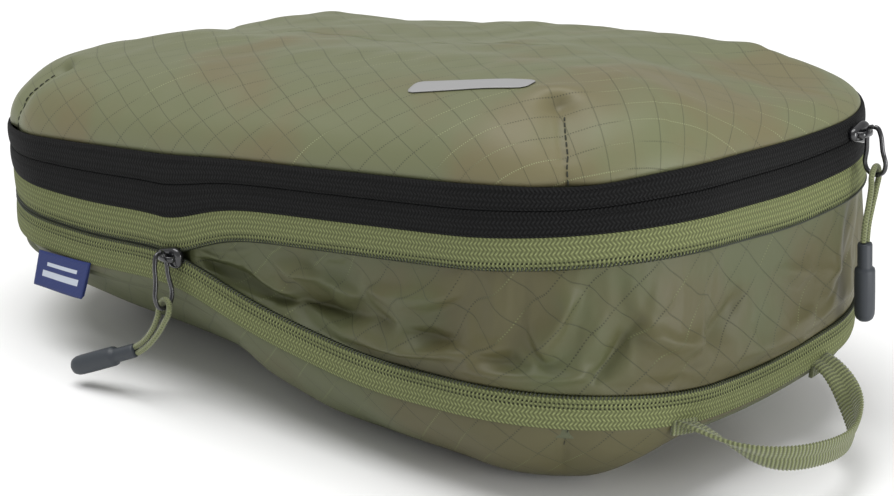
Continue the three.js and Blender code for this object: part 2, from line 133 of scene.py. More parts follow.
class Shader:
    """A material under construction, with short ways to add and join its nodes."""

    def __init__(self, name, color, roughness):
        self.material = bpy.data.materials.new(name)
        self.material.use_nodes = True
        self.tree = self.material.node_tree
        self.bsdf = self.tree.nodes["Principled BSDF"]
        self.set("Base Color", (*color, 1))
        self.set("Roughness", roughness)

    def set(self, socket, value):
        self.bsdf.inputs[socket].default_value = value

    def node(self, kind, **settings):
        made = self.tree.nodes.new(kind)
        for key, value in settings.items():
            setattr(made, key, value)
        return made

    def join(self, source, target):
        self.tree.links.new(source, target)

    def feed(self, value, target):
        if isinstance(value, bpy.types.NodeSocket):
            self.join(value, target)
        else:
            target.default_value = value

    def math(self, operation, a, b=0.0, c=0.0):
        made = self.node("ShaderNodeMath", operation=operation)
        for value, target in zip((a, b, c), made.inputs):
            self.feed(value, target)
        return made.outputs[0]

    def uv(self, name="fabric"):
        """The two coordinates of a UV map, in metres."""
        split = self.node("ShaderNodeSeparateXYZ")
        self.join(self.node("ShaderNodeUVMap", uv_map=name).outputs[0], split.inputs[0])
        return split.outputs[0], split.outputs[1]

    def mix(self, share, a, b):
        made = self.node("ShaderNodeMix", data_type="RGBA")
        self.feed(share, made.inputs["Factor"])
        self.feed(a if isinstance(a, bpy.types.NodeSocket) else (*a, 1), made.inputs[6])
        self.feed(b if isinstance(b, bpy.types.NodeSocket) else (*b, 1), made.inputs[7])
        return made.outputs[2]

    def noise(self, scale, detail=2.0):
        made = self.node("ShaderNodeTexNoise")
        made.inputs["Scale"].default_value = scale
        made.inputs["Detail"].default_value = detail
        self.join(self.node("ShaderNodeTexCoord").outputs["Object"], made.inputs["Vector"])
        return made.outputs[0]

    def step(self, value, low, high):
        made = self.node("ShaderNodeMapRange", interpolation_type="SMOOTHSTEP")
        self.join(value, made.inputs["Value"])
        made.inputs["From Min"].default_value = low
        made.inputs["From Max"].default_value = high
        return made.outputs[0]

    def color(self, value):
        self.join(value, self.bsdf.inputs["Base Color"])

    def relief(self, height, distance, strength=1.0):
        made = self.node("ShaderNodeBump")
        made.inputs["Strength"].default_value = strength
        made.inputs["Distance"].default_value = distance
        self.join(height, made.inputs["Height"])
        self.join(made.outputs[0], self.bsdf.inputs["Normal"])

    def wave(self, value, period):
        """0 to 1 and back once every period."""
        turns = self.math("MULTIPLY", value, 2 * math.pi / period)
        return self.math("MULTIPLY_ADD", self.math("SINE", turns), 0.5, 0.5)

    def line(self, value, spacing, width):
        """1 on thin lines at every spacing, 0 between."""
        near = self.math("PINGPONG", value, spacing / 2)
        return self.math("SUBTRACT", 1.0, self.step(near, width / 2, width))


# The two olives below are one fabric colour: the first is painted darker, as painted shade on the walls, and
# the second painted lighter, as painted light falling on the lid's top.
SHADED_OLIVE = (0.084, 0.094, 0.040)
LIT_LID_OLIVE = (0.152, 0.163, 0.084)
TAPE_GREEN = (0.172, 0.192, 0.083)


def ripstop_material(name, olive, sheen_share):
    """Thin shiny ripstop: a square grid on the bias, solid threads one way and dotted ones the other."""
    s = Shader(name, olive, 0.52)
    s.set("Specular IOR Level", 0.4)
    sheen_tint = (1.10 * olive[0], 0.82 * olive[1], 0.80 * olive[2])
    u, v = s.uv()
    turn = math.radians(39)
    across = s.math("ADD", s.math("MULTIPLY", u, math.sin(turn)), s.math("MULTIPLY", v, math.cos(turn)))
    along = s.math("SUBTRACT", s.math("MULTIPLY", u, math.cos(turn)), s.math("MULTIPLY", v, math.sin(turn)))
    solid = s.line(across, 0.0128, 0.00028)
    dotted = s.math("MULTIPLY", s.line(along, 0.0128, 0.0004), s.line(across, 0.00115, 0.0003))
    split = s.node("ShaderNodeSeparateXYZ")
    s.join(s.node("ShaderNodeTexCoord").outputs["Object"], split.inputs[0])
    # Soft bronze patches, gathering toward the handle end, are painted sheen: the fabric's shimmer, which
    # shifts with the angle of view, laid into the colour.
    sheen_toward_handle = s.math("MULTIPLY", s.step(split.outputs[0], 0.03, 0.16), 0.17)
    sheen_patch = s.step(s.math("ADD", s.noise(14.0, 3.0), sheen_toward_handle), 0.52, 0.70)
    body = s.mix(s.math("MULTIPLY", sheen_patch, sheen_share), olive, sheen_tint)
    grain = s.noise(2600.0, 1.0)
    body = s.mix(s.math("MULTIPLY", grain, 0.25), body, tuple(0.75 * c for c in olive))
    body = s.mix(s.math("MULTIPLY", solid, 0.45), body, tuple(0.3 * c for c in olive))
    # Dotted threads are dark in their own colour, and noise picks some out as bright painted highlights,
    # glints of light on the threads.
    glint = s.step(s.noise(22.0, 1.0), 0.53, 0.61)
    dots_and_glints = s.mix(glint, tuple(0.22 * c for c in olive), tuple(2.1 * c for c in olive))
    s.color(s.mix(s.math("MULTIPLY", dotted, 0.8), body, dots_and_glints))
    threads = s.math("MAXIMUM", s.math("MULTIPLY", solid, 0.6), s.math("MULTIPLY", dotted, 0.7))
    height = s.math("SUBTRACT", s.math("MULTIPLY", grain, 0.25), threads)
    s.relief(height, 0.00012)
    return s.material


def tape_material(name, color, dark, rows, hole_share, painted_light_contrast=1.0):
    """Woven zipper tape: fine diagonal twill with rows of stitch holes at given distances from its foot."""
    s = Shader(name, color, 0.8)
    s.set("Specular IOR Level", 0.2)
    u, v = s.uv()
    chevron = s.math("MULTIPLY", s.math("PINGPONG", v, 0.0019), 0.7)
    ribs = s.wave(s.math("ADD", u, chevron), 0.00155)
    courses = s.wave(v, 0.0019)
    weave = s.math("MULTIPLY", ribs, s.math("MULTIPLY_ADD", courses, 0.65, 0.35))
    mark = None
    for row in rows:
        offset = s.math("ABSOLUTE", s.math("SUBTRACT", v, row))
        near = s.math("SUBTRACT", 1.0, s.step(offset, 0.00022, 0.0005))
        hole = s.math("MULTIPLY", near, s.step(s.wave(u, 0.0016), 0.45, 0.75))
        mark = hole if mark is None else s.math("MAXIMUM", mark, hole)
    # The weave is coloured lighter on its raised ribs and darker between them, as painted highlight and
    # shade; the black tape takes a doubled range, painting light specks on the black.
    low, high = 1 - 0.45 * painted_light_contrast, 1 + 0.55 * painted_light_contrast
    body = s.mix(weave, tuple(low * c for c in color), tuple(high * c for c in color))
    s.color(s.mix(s.math("MULTIPLY", mark, hole_share), body, dark))
    s.relief(s.math("SUBTRACT", weave, s.math("MULTIPLY", mark, 1.5)), 0.00035)
    return s.material


def webbing_material():
    """Ribbed webbing with a sewn line down its middle."""
    s = Shader("webbing", TAPE_GREEN, 0.8)
    s.set("Sheen Weight", 0.3)
    u, v = s.uv()
    rib = s.wave(u, 0.0017)
    warp = s.wave(s.math("ADD", v, s.math("MULTIPLY", rib, 0.0004)), 0.0011)
    body = s.mix(rib, tuple(0.5 * c for c in TAPE_GREEN), tuple(1.3 * c for c in TAPE_GREEN))
    s.color(s.mix(s.math("MULTIPLY", warp, 0.3), body, tuple(0.7 * c for c in TAPE_GREEN)))
    s.relief(s.math("ADD", rib, s.math("MULTIPLY", warp, 0.3)), 0.00035)
    return s.material


def cord_material():
    """Braided cord."""
    s = Shader("braid", TAPE_GREEN, 0.75)
    s.set("Sheen Weight", 0.3)
    u, v = s.uv("UVMap")
    left = s.wave(s.math("ADD", s.math("MULTIPLY", u, 60.0), s.math("MULTIPLY", v, 3.0)), 1.0)
    right = s.wave(s.math("SUBTRACT", s.math("MULTIPLY", u, 60.0), s.math("MULTIPLY", v, 3.0)), 1.0)
    braid = s.math("MAXIMUM", left, right)
    s.color(s.mix(braid, tuple(0.45 * c for c in TAPE_GREEN), tuple(1.15 * c for c in TAPE_GREEN)))
    s.relief(braid, 0.00025)
    return s.material


def plain_material(name, color, roughness, metallic=0.0, grain=0.0, coat=0.0):
    s = Shader(name, color, roughness)
    s.set("Metallic", metallic)
    s.set("Coat Weight", coat)
    if grain:
        fine = s.noise(1800.0)
        s.color(s.mix(s.math("MULTIPLY", fine, 0.5), color, tuple(0.7 * c for c in color)))
        s.relief(fine, grain)
    return s.material


def label_material():
    """Navy satin weave with two plain pale bars in place of writing."""
    s = Shader("woven_label", (0.012, 0.028, 0.16), 0.6)
    u, v = s.uv()
    bars = None
    for low, high, reach in ((0.0045, 0.0062, 0.0095), (0.0085, 0.0114, 0.0115)):
        above = s.step(v, low - 0.0002, low)
        below = s.step(s.math("MULTIPLY", v, -1.0), -high, -high + 0.0002)
        inside = s.math("MULTIPLY", above, below)
        inside = s.math("MULTIPLY", inside, s.math("LESS_THAN", s.math("ABSOLUTE", u), reach))
        bars = inside if bars is None else s.math("MAXIMUM", bars, inside)
    weave = s.math("MULTIPLY", s.wave(u, 0.0006), s.wave(v, 0.0006))
    navy = s.mix(weave, (0.009, 0.022, 0.12), (0.018, 0.04, 0.2))
    s.color(s.mix(bars, navy, (0.55, 0.6, 0.68)))
    s.relief(weave, 0.0001)
    return s.material


# The same ripstop twice: the first copy carries painted shade for the pan, gusset and hinge panels, the
# second painted light for the lid.
SHADED_RIPSTOP = ripstop_material("ripstop", SHADED_OLIVE, 0.8)
LIT_RIPSTOP_LID = ripstop_material("ripstop_lid_lit", LIT_LID_OLIVE, 0.7)
GREEN_TAPE = tape_material("green_tape", TAPE_GREEN, (0.012, 0.014, 0.008), (0.0086, 0.0102), 0.9)
GREEN_TAPE_UPPER = tape_material("green_tape_upper", TAPE_GREEN, (0.012, 0.014, 0.008), (0.001, 0.0026), 0.9)
BLACK_WEAVE = tape_material("black_tape", (0.0060, 0.0062, 0.0063), (0.001, 0.001, 0.001), (0.0012, 0.0078),
                            0.9, 2.0)
BRAID = cord_material()
WEBBING = webbing_material()
GREEN_COIL = plain_material("green_coil", (0.03, 0.036, 0.022), 0.35)
BLACK_COIL = plain_material("black_coil", (0.012, 0.012, 0.013), 0.4)
BINDING = plain_material("binding", (0.10, 0.11, 0.06), 0.8, grain=0.0002)
METAL = plain_material("black_metal", (0.012, 0.012, 0.014), 0.22, coat=0.6)
MOULDED = plain_material("moulded", (0.036, 0.043, 0.052), 0.5, grain=0.00003)
SILVER = plain_material("reflective", (0.36, 0.36, 0.36), 0.42, metallic=0.25)
THREAD = plain_material("thread", (0.02, 0.022, 0.012), 0.8)
LABEL_WEAVE = label_material()

# ---- Shape of the soft body -----------------------------------------
# Soft pieces are drawn level and closed, then placed: the base sags a little and humps up under
# the slider, and the upper half is turned about the closed end and pinched down to the slider.


def outline(count, start=0.0, end=1.0):
    """Points, outward normals and distances round the plan, where 0 and 1 are the middle of the back.

    It runs from the back past the closed end (-X), the front and the handle end (+X)."""
    long, short = 2 * (HALF_LENGTH - RADIUS), 2 * (HALF_WIDTH - RADIUS)
    arc = math.pi / 2 * RADIUS
    lengths = [long / 2, arc, short, arc, long, arc, short, arc, long / 2]
    total = sum(lengths)
    run = np.linspace(start, end, count) * total
    s = np.where(run > total + 1e-6, run - total, np.where(run < -1e-6, run + total, run))
    x, y = np.zeros(count), np.zeros(count)
    nx, ny = np.zeros(count), np.zeros(count)
    a, b = HALF_LENGTH - RADIUS, HALF_WIDTH - RADIUS
    corners = {1: (-a, b, 90), 3: (-a, -b, 180), 5: (a, -b, 270), 7: (a, b, 0)}
    sides = {0: (0, 1, 0, b), 2: (-1, 0, -a, b), 4: (0, -1, -a, -b), 6: (1, 0, a, -b), 8: (0, 1, a, b)}
    passed = 0.0
    for k, length in enumerate(lengths):
        here = (s >= passed - 1e-9) & (s <= passed + length + 1e-9)
        d = s[here] - passed
        if k in corners:
            cx, cy, first = corners[k]
            angle = np.radians(first) + d / RADIUS
            nx[here], ny[here] = np.cos(angle), np.sin(angle)
            x[here], y[here] = cx + RADIUS * nx[here], cy + RADIUS * ny[here]
        else:
            ox, oy, fx, fy = sides[k]
            nx[here], ny[here] = ox, oy
            along_x, along_y = -oy, ox
            x[here] = fx + RADIUS * ox + along_x * d
            y[here] = fy + RADIUS * oy + along_y * d
        passed += length
    return x, y, nx, ny, run


def drawn_in(x):
    """The closed end is drawn in a little by its zipper."""
    return x + 5 * smooth((-x - 90) / 90)


def bulged(x, y):
    return y - FRONT_BULGE * np.maximum(0, 1 - (x / HALF_LENGTH) ** 2) * np.maximum(0, -y / HALF_WIDTH)


def front(y):
    return smooth((-y - 35) / 50)


def base_rise(x, y):
    """How far the soft base stands above or below its level shape at the seam."""
    tilt = 1.8 - 4.2 * np.tanh((x - 5) / 45)
    tilt = tilt * (1 - 0.4 * smooth((-x - 145) / 35))
    hump = front(y) * (5.5 * bump(x, SLIDER_X - 1, 38, 34) - 2.5 * bump(x, 75, 35, 35))
    sag = -5.5 * bump(y, -8, 60, 60) * smooth((x - 120) / 50)
    return tilt + hump + sag


def place_lower(x, y, z):
    rise = base_rise(x, y)
    return drawn_in(x), bulged(x, y), z + rise * np.clip(z / SEAM, 0, 1)


def upper_shift(x, y, z):
    """How far the upper half is pulled from its turned shape: down to the base on the closed stretch."""
    slack = 0.8 - 5.0 * bump(y, 14, 50, 60) * smooth((x - 120) / 50)

    def pinched(end, reach):
        at = np.minimum(x, end)
        closed = base_rise(at, y) - (at + HALF_LENGTH) * math.sin(THETA)
        return slack + (closed - slack) * bump(np.maximum(x, end), end, 1, reach)

    share = front(y)
    low = share * pinched(SLIDER_X - 4, 27) + (1 - share) * pinched(-150, 40)
    fade = 1 - smooth((z - 52) / 42)
    high = -4.0 * bump(y, 30, 60, 80) * smooth((x - 120) / 50) - 2.2 * bump(x, 158, 22, 14) * front(y)
    rim = smooth((z - 60) / 24)
    return low * fade + high * rim * (1 - fade)


def place_upper(x, y, z):
    stretched = drawn_in(x) + STRETCH * (x + HALF_LENGTH) / (2 * HALF_LENGTH)
    along, above = stretched + HALF_LENGTH, z - MEET
    shift = upper_shift(x, y, z)
    turned_x = -HALF_LENGTH + along * math.cos(THETA) - above * math.sin(THETA)
    turned_z = MEET + along * math.sin(THETA) + above * math.cos(THETA) + shift
    return turned_x, bulged(x, y), turned_z


# ---- Mesh helpers ---------------------------------------------------


def mesh_object(name, points, faces, uv=None, material=None, sharp=False):
    """A mesh from points in millimetres, and a fabric map in metres from one pair per point."""
    data = bpy.data.meshes.new(name)
    data.from_pydata((np.asarray(points, float) * MM).tolist(), [], faces)
    if uv is not None:
        layer = data.uv_layers.new(name="fabric")
        loops = np.zeros(len(data.loops), int)
        data.loops.foreach_get("vertex_index", loops)
        layer.data.foreach_set("uv", (np.asarray(uv, float)[loops] * MM).astype(np.float32).ravel())
    data.polygons.foreach_set("use_smooth", [not sharp] * len(data.polygons))
    data.update()
    obj = bpy.data.objects.new(name, data)
    bpy.context.scene.collection.objects.link(obj)
    if material:
        data.materials.append(material)
    return obj


def grid_faces(rows, columns, closed_rows=False):
    faces = []
    for j in range(rows if closed_rows else rows - 1):
        for i in range(columns - 1):
            a, b = j * columns + i, ((j + 1) % rows) * columns + i
            faces.append((a, a + 1, b + 1, b))
    return faces


def dress(obj, slot, *cad_nodes):
    if cad_nodes:
        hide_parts(*cad_nodes)
    return obj


def strip(name, place, section, span, material, count=700):
    """A band whose closed cross-section, a list of (proud, level, v), runs round the outline."""
    x, y, nx, ny, s = outline(count, *span)
    points, uv = [], []
    for proud, level, v in section:
        px, py, pz = place(x + proud * nx, y + proud * ny, np.full(count, float(level)))
        points.append(np.column_stack([px, py, pz]))
        uv.append(np.column_stack([s, np.full(count, v)]))
    faces = grid_faces(len(section), count, closed_rows=True)
    rows = len(section)
    faces.append([j * count for j in range(rows)][::-1])
    faces.append([j * count + count - 1 for j in range(rows)])
    return mesh_object(name, np.vstack(points), faces, np.vstack(uv), material)


def tape_section(foot, top, proud, thick, crown=0.35, edge=0.25, rows=8):
    """A flat band with rounded edges, from foot to top on its outer side and back inside."""
    section = []
    for k in range(rows + 1):
        t = k / rows
        round_off = edge if k in (0, rows) else 0.0
        out = proud + crown * (1 - (2 * t - 1) ** 2) - round_off
        section.append((out, foot + (top - foot) * t, (top - foot) * t))
    section.append((proud - thick, top, top - foot))
    section.append((proud - thick, foot, 0.0))
    return section


# ---- Tapes, bindings and hinge panels -------------------------------

lower_tape = strip("lower_zip_tape_cloth", place_lower, tape_section(GREEN_FOOT, GREEN_TOP + 1.8, 0.9, 1.3),
                   WHOLE, GREEN_TAPE)
dress(lower_tape, "green_tape", "lower_zip_tape")
upper_tape = strip("upper_zip_tape_cloth", place_upper, tape_section(UPPER_FOOT - 1.8, UPPER_TOP, 0.9, 1.3),
                   WHOLE, GREEN_TAPE_UPPER)
dress(upper_tape, "green_tape", "upper_zip_tape")
black_lower = strip("main_zip_lower_tape_cloth", place_upper,
                    tape_section(BLACK_FOOT - 0.9, SLIT - 0.12, 1.2, 1.2, 0.5),
                    ZIP, BLACK_WEAVE)
dress(black_lower, "black_tape", "main_zip_lower_tape")
black_upper = strip("main_zip_upper_tape_cloth", place_upper,
                    tape_section(SLIT + 0.12, BLACK_TOP, 1.2, 1.2, 0.5),
                    ZIP, BLACK_WEAVE)
dress(black_upper, "black_tape", "main_zip_upper_tape")
for obj, body in ((black_lower, "frame"), (black_upper, "lid")):
    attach(obj, body)

for name, place, foot, top, body, cad in (
        ("base_seam_binding_cloth", place_lower, SEAM - 5, SEAM, "base", "base_seam_binding"),
        ("frame_seam_binding_cloth", place_upper, 67.9, 72.9, "frame", "frame_seam_binding"),
        ("lid_seam_binding_cloth", place_upper, 79.7, 84.4, "lid", "lid_seam_binding")):
    section = tape_section(foot, top, -2.6, 1.0, 0.0, 0.1, 3)
    binding = strip(name, place, section, WHOLE, BINDING, 420)
    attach(dress(binding, "binding", cad), body)


def back_panel(name, foot, top, body, cad):
    span = (HALF_LENGTH - RADIUS) / 1032.0
    section = tape_section(foot, top, 0.9, 1.5, 0.2)
    left = strip(name, place_upper, section, (0.0, span), SHADED_RIPSTOP, 120)
    right = strip(name + "_right", place_upper, section, (1 - span, 1.0), SHADED_RIPSTOP, 120)
    bpy.ops.object.select_all(action="DESELECT")
    left.select_set(True)
    right.select_set(True)
    bpy.context.view_layer.objects.active = left
    bpy.ops.object.join()
    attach(dress(left, "ripstop", cad), body)


back_panel("hinge_panel_frame_cloth", BLACK_FOOT - 0.9, SLIT - 0.12, "frame", "hinge_panel_frame_half")
back_panel("hinge_panel_lid_cloth", SLIT + 0.12, BLACK_TOP, "lid", "hinge_panel_lid_half")

# ---- Coils ----------------------------------------------------------


def coil(name, place, level, proud, rise, depth, wire, span, material):
    """A continuous zipper coil: a flattened helix that runs round the outline."""
    x0, y0, nx0, ny0, s0 = outline(2000, *span)
    length = s0[-1] - s0[0]
    turns = int(length / COIL_PITCH)
    around, sides = 8, 5
    count = turns * around + 1
    s = s0[0] + np.linspace(0, length, count)
    phase = np.arange(count) * 2 * math.pi / around
    x, y, nx, ny = (np.interp(s, s0, q) for q in (x0, y0, nx0, ny0))
    out = proud - depth / 2 + depth / 2 * np.cos(phase)
    z = level + rise / 2 * np.sin(phase)
    px, py, pz = place(x + out * nx, y + out * ny, z)
    line = np.column_stack([px, py, pz])
    tangent = np.gradient(line, axis=0)
    tangent /= np.linalg.norm(tangent, axis=1)[:, None]
    side = np.cross(tangent, [0.0, 0.0, 1.0])
    side /= np.linalg.norm(side, axis=1)[:, None]
    other = np.cross(side, tangent)
    rings = []
    for k in range(sides):
        angle = 2 * math.pi * k / sides
        rings.append(line + wire / 2 * (side * math.cos(angle) + other * math.sin(angle)))
    points = np.stack(rings, 0).reshape(-1, 3)
    return mesh_object(name, points, grid_faces(sides, count, closed_rows=True), None, material)


lower_coil = coil("lower_zip_coil_teeth", place_lower, 50.85, 1.05, 1.4, 2.0, 0.62, WHOLE, GREEN_COIL)
dress(lower_coil, "green_coil", "lower_zip_coil")
upper_coil = coil("upper_zip_coil_teeth", place_upper, 52.45, 1.05, 1.4, 2.0, 0.62, WHOLE, GREEN_COIL)
dress(upper_coil, "green_coil", "upper_zip_coil")
for name, level, body, cad in (("main_zip_lower_coil_teeth", SLIT - 0.8, "frame", "main_zip_lower_coil"),
                               ("main_zip_upper_coil_teeth", SLIT + 0.8, "lid", "main_zip_upper_coil")):
    teeth = coil(name, place_upper, level, -0.4, 1.2, 1.4, 0.5, ZIP, BLACK_COIL)
    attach(dress(teeth, "black_coil", cad), body)

# On the cube the compression zipper and its tapes bend between the base and the frame as it closes; here
# they stay on neither body, with their placement baked into their points.
for piece in (lower_tape, lower_coil, upper_tape, upper_coil):
    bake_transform(piece)


def merge(obj):
    """Joins points that lie on each other, where a ring meets its own start."""
    cleaned = bmesh.new()
    cleaned.from_mesh(obj.data)
    bmesh.ops.remove_doubles(cleaned, verts=cleaned.verts, dist=0.02 * MM)
    cleaned.to_mesh(obj.data)
    cleaned.free()


# ---- Pan ------------------------------------------------------------


def dart(s, depth_along, centre, length, width, depth):
    """How far a corner dart pulls the cloth in, at distance s round the outline and down from the seam."""
    across = (s - centre) / width
    fade = 1 - smooth((depth_along - length + 8) / 16)
    groove = np.exp(-((s - centre) / 1.1) ** 2) * 0.9
    return fade * (depth * np.exp(-across ** 2) + groove)


def build_pan():
    count, rows, floor_rows = 620, 26, 12
    x, y, nx, ny, s = outline(count)
    full = smooth((x + 60) / 110) * front(y)
    inset_end = 63 - 19 * full
    power = 1.6 - 0.4 * full
    rows_points, rows_uv = [], []
    travelled = np.zeros(count)
    last = None
    rows_points.append(np.column_stack(place_lower(x - 0.6 * nx, y - 0.6 * ny, np.full(count, SEAM + 2.5))))
    rows_uv.append(np.column_stack([s, np.full(count, SEAM + 2.5)]))
    for k in range(rows + 1):
        phi = math.pi / 2 * (1 - k / rows)
        inset = inset_end * (1 - math.sin(phi) ** power)
        z = SEAM * (1 - np.maximum(math.cos(phi), 0.0) ** power)
        px, py, pz = place_lower(x - inset * nx, y - inset * ny, z)
        row = np.column_stack([px, py, pz])
        if last is not None:
            travelled = travelled + np.linalg.norm(row - last, axis=1)
        last = row.copy()
        pull = sum(dart(s, travelled, c, 26, 9, 2.2) for c in DART_AT)
        wave = ripple(px, py, pz, 30, 3) * 2.8 * smooth(travelled / 14) * smooth(pz / 12)
        row[:, 0] += nx * (wave - pull)
        row[:, 1] += ny * (wave - pull)
        rows_points.append(row)
        rows_uv.append(np.column_stack([s, SEAM - travelled]))
    rim = rows_points[-1]
    spine = np.column_stack([np.clip(rim[:, 0], -70, 70), np.zeros(count), np.zeros(count)])
    for k in range(1, floor_rows + 1):
        t = k / floor_rows
        row = rim + (spine - rim) * t
        row[:, 2] = 0.0
        rows_points.append(row)
        distance = np.linalg.norm(rim - row, axis=1)
        rows_uv.append(np.column_stack([s, SEAM - travelled - distance]))
    points = np.vstack(rows_points)
    points[:, 2] = np.maximum(points[:, 2], 0.0)
    faces = grid_faces(len(rows_points), count)
    pan = mesh_object("base_pan_cloth", points, [f[::-1] for f in faces], np.vstack(rows_uv), SHADED_RIPSTOP)
    merge(pan)
    thicken(pan, 1.2)
    bpy.context.view_layer.objects.active = pan
    bpy.ops.object.modifier_apply(modifier="thick")
    for vertex in pan.data.vertices:
        vertex.co.z = max(vertex.co.z, 0.0)
    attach(dress(pan, "ripstop", "base_pan"), "base")
    return pan


def thicken(obj, millimetres, side=-1):
    """Thickens cloth, inward at side -1 and outward at 1."""
    modifier = obj.modifiers.new("thick", "SOLIDIFY")
    modifier.thickness = millimetres * MM
    modifier.offset = side


# Distances round the outline at which the four corner darts meet the seams.
NEAR_DART = FRONT_START + 220 + 46
DART_AT = (NEAR_DART, FRONT_START - 27, 110 + 27, OUTLINE_LENGTH - 110 - 27)
pan = build_pan()

# ---- Lid ------------------------------------------------------------


def lid_rise(inset, x, y):
    """Height of the lid above its seam: fullest at the front, sloping off to the back and the ends."""
    u = np.clip(inset / 72.0, 0, 1)
    back = smooth((y + 50) / 110)
    height = LID_HEIGHT * (1 - 0.25 * back) * (1 - 0.45 * back * smooth((x - 80) / 80))
    height = height * (1 - 0.10 * smooth((-x - 90) / 60))
    return height * np.sqrt(np.maximum(0, 1 - (1 - u) ** 3))


def build_lid():
    count, rows = 620, 56
    x, y, nx, ny, s = outline(count)
    spine_x = np.clip(x, -72, 72)
    reach = np.hypot(x - spine_x, y)
    rows_points, rows_uv = [], []
    for k in range(rows + 1):
        t = (k / rows) ** 1.7
        px = x + (spine_x - x) * t
        py = y * (1 - t)
        inset = reach * t * np.where(np.abs(y) > 60, 1, 0.9)
        drop = lid_rise(inset, px, py)
        level = LID_FOOT - 0.4 + drop
        wx, wy, wz = place_upper(px, py, level)
        fold = 2.6 * ripple(px / 1.8, py, level, 32, 5) + 0.9 * ripple(px, py / 1.5, level, 15, 9)
        fold = fold * (1 - 0.9 * bump(px, 90, 44, 44) * bump(py, -76, 22, 22))
        wz = wz + fold * smooth(inset / 10)
        pull = sum(dart(s, inset * 1.2, c, 27, 9, 2.6) for c in DART_AT)
        for c in DART_AT:
            pull = pull + 4.5 * np.exp(-((s - c) / 7) ** 2 - ((inset * 1.2 - 29) / 5.5) ** 2)
            pull = pull - 2.2 * np.exp(-((s - c) / 14) ** 2 - ((inset * 1.2 - 38) / 7) ** 2)
        wx = wx - nx * pull * 0.6
        wy = wy - ny * pull * 0.6
        wz = wz - pull * 0.7 * smooth(inset / 4)
        rows_points.append(np.column_stack([wx, wy, wz]))
        below = lid_rise(72.0, px, py) - drop
        rows_uv.append(np.column_stack([px + nx * below, py + ny * below]))
    faces = grid_faces(len(rows_points), count)
    lid = mesh_object("lid_panel_cloth", np.vstack(rows_points), faces, np.vstack(rows_uv), LIT_RIPSTOP_LID)
    merge(lid)
    thicken(lid, 1.2)
    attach(dress(lid, "ripstop", "lid_panel"), "lid")
    return lid


lid = build_lid()

# ---- Gusset ---------------------------------------------------------


# Creases of the gusset: each from one (distance past the slider in mm, share of the height) to another,
# then how far it stands out in mm and how wide it is.
CREASES = (
    ((52, 0.75), (100, 0.52), 2.6, 5.0), ((64, 0.30), (118, 0.44), -2.4, 6.0),
    ((96, 0.62), (150, 0.78), 2.0, 5.0), ((112, 0.16), (168, 0.34), 3.0, 4.5),
    ((120, 0.40), (176, 0.22), -2.8, 5.0), ((150, 0.12), (196, 0.16), 3.0, 3.5),
    ((176, 0.30), (190, 0.86), 2.2, 6.0), ((196, 0.10), (214, 0.62), -2.6, 6.0),
    ((206, 0.52), (246, 0.30), 2.4, 5.0), ((232, 0.16), (268, 0.62), -2.0, 7.0),
    ((262, 0.12), (318, 0.26), 2.0, 6.0), ((286, 0.72), (340, 0.44), 1.6, 7.0),
    ((352, 0.2), (404, 0.6), 2.0, 7.0), ((420, 0.7), (480, 0.3), -2.0, 7.0),
    ((500, 0.3), (560, 0.6), 2.0, 7.0), ((574, 0.7), (622, 0.3), 2.0, 6.0),
    ((630, 0.3), (664, 0.6), -2.0, 6.0))


def crease(distance, height, ends, tall):
    (s0, t0), (s1, t1), out, width = ends
    ax, ay = s1 - s0, (t1 - t0) * tall
    px, py = distance - s0, (height - t0) * tall
    share = np.clip((px * ax + py * ay) / (ax * ax + ay * ay), 0, 1)
    away = np.hypot(px - share * ax, py - share * ay)
    taper = smooth(4 * share * (1 - share) + 0.25)
    return out * taper * np.exp(-(away / (0.8 * width)) ** 1.3)


GUSSET_FROM = FRONT_START - 40      # where it starts on the front, inside the closed zipper
GUSSET_TO = OUTLINE_LENGTH + 150             # where it ends on the back
SLIDER_S = FRONT_START + 110 + SLIDER_X


